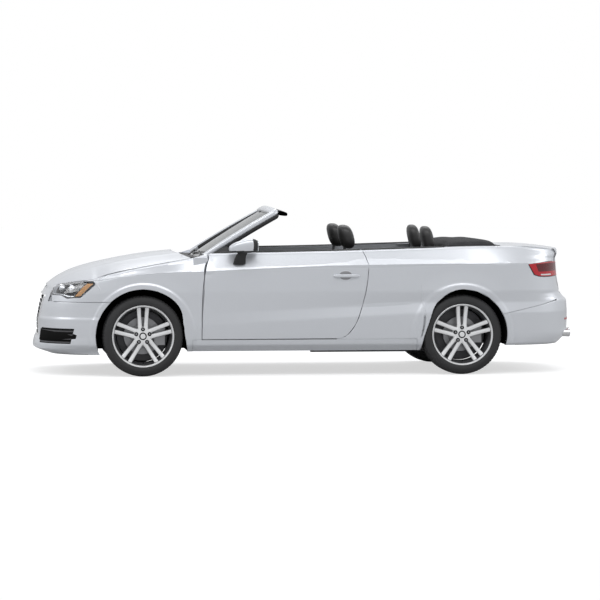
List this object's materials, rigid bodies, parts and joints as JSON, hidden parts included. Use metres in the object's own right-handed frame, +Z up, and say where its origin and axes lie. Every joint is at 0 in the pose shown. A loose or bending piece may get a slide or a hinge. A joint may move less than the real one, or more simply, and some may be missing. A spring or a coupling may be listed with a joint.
{
  "type": "convertible car",
  "caption": "Compact convertible car with its soft top stowed: silver body, black cabin, rolling and steered wheels, hinged doors, hood and boot lid.",
  "frame": {"origin": "on the ground in the centre plane, midway between the foremost and rearmost points", "axes": "+Z up; the front of the car faces -Y and its left side faces +X"},
  "size_m": [2.02, 4.421, 1.354],
  "materials": {
    "silver_paint": "silver metallic paint under clear coat",
    "black_plastic": "grained black",
    "rubber": "matt",
    "alloy": "bright lacquered alloy",
    "steel": "bare and painted steel",
    "leather": "fine grain",
    "fabric": "woven roof cloth",
    "glass": "clear",
    "lamp_clear": "clear lens over a bright reflector",
    "lamp_red": "red lens"
  },
  "bodies": {
    "body": {"boot_floor": "black_plastic", "bulkhead": "black_plastic", "console": "black_plastic", "dashboard": "black_plastic", "engine": "steel", "exhaust": "steel", "fender_left": "silver_paint", "fender_right": "silver_paint", "floor_pan": "black_plastic", "folded_top": "fabric", "front_axle": "steel", "front_bumper": "silver_paint", "grille": "black_plastic", "headlamp_left": "lamp_clear", "headlamp_right": "lamp_clear", "quarter_left": "silver_paint", "quarter_right": "silver_paint", "rear_axle": "steel", "rear_bumper": "silver_paint", "rear_seat": "leather", "seat_left": "leather", "seat_right": "leather", "sill_left": "silver_paint", "sill_right": "silver_paint", "steering_wheel": "leather", "tail_lamp_left": "lamp_red", "tail_lamp_right": "lamp_red", "windscreen": "glass", "windscreen_frame": "silver_paint"},
    "hood": {"hood": "silver_paint"},
    "boot_lid": {"boot_lid": "silver_paint"},
    "door_left": {"door_left": "silver_paint", "mirror_left": "silver_paint"},
    "door_right": {"door_right": "silver_paint", "mirror_right": "silver_paint"},
    "knuckle_left": {"knuckle_left": "steel"},
    "knuckle_right": {"knuckle_right": "steel"},
    "wheel_front_left": {"tyre_front_left": "rubber", "wheel_front_left": "alloy"},
    "wheel_front_right": {"tyre_front_right": "rubber", "wheel_front_right": "alloy"},
    "wheel_rear_left": {"tyre_rear_left": "rubber", "wheel_rear_left": "alloy"},
    "wheel_rear_right": {"tyre_rear_right": "rubber", "wheel_rear_right": "alloy"}
  },
  "joints": [
    {"name": "hood_hinge", "type": "hinge", "parent": "body", "child": "hood", "pos_m": [0, -0.935, 0.935], "axis": [-1, 0, 0], "range_deg": [0, 50]},
    {"name": "boot_lid_hinge", "type": "hinge", "parent": "body", "child": "boot_lid", "pos_m": [0, 1.612, 1.033], "axis": [1, 0, 0], "range_deg": [0, 75]},
    {"name": "door_left_hinge", "type": "hinge", "parent": "body", "child": "door_left", "pos_m": [0.838, -0.821, 0.6], "axis": [0, 0, -1], "range_deg": [0, 65]},
    {"name": "door_right_hinge", "type": "hinge", "parent": "body", "child": "door_right", "pos_m": [-0.838, -0.821, 0.6], "axis": [0, 0, 1], "range_deg": [0, 65]},
    {"name": "steer_left", "type": "hinge", "parent": "body", "child": "knuckle_left", "pos_m": [0.6875, -1.3495, 0.325], "axis": [0, 0, 1], "range_deg": [-33, 33]},
    {"name": "steer_right", "type": "hinge", "parent": "body", "child": "knuckle_right", "pos_m": [-0.6875, -1.3495, 0.325], "axis": [0, 0, 1], "range_deg": [-33, 33]},
    {"name": "roll_front_left", "type": "hinge", "parent": "knuckle_left", "child": "wheel_front_left", "pos_m": [0.7675, -1.3495, 0.325], "axis": [1, 0, 0], "continuous": true},
    {"name": "roll_front_right", "type": "hinge", "parent": "knuckle_right", "child": "wheel_front_right", "pos_m": [-0.7675, -1.3495, 0.325], "axis": [1, 0, 0], "continuous": true},
    {"name": "roll_rear_left", "type": "hinge", "parent": "body", "child": "wheel_rear_left", "pos_m": [0.7675, 1.2455, 0.325], "axis": [1, 0, 0], "continuous": true},
    {"name": "roll_rear_right", "type": "hinge", "parent": "body", "child": "wheel_rear_right", "pos_m": [-0.7675, 1.2455, 0.325], "axis": [1, 0, 0], "continuous": true}
  ],
  "couplings": [
    {"joint": "steer_right", "follows": "steer_left", "ratio": 1}
  ]
}
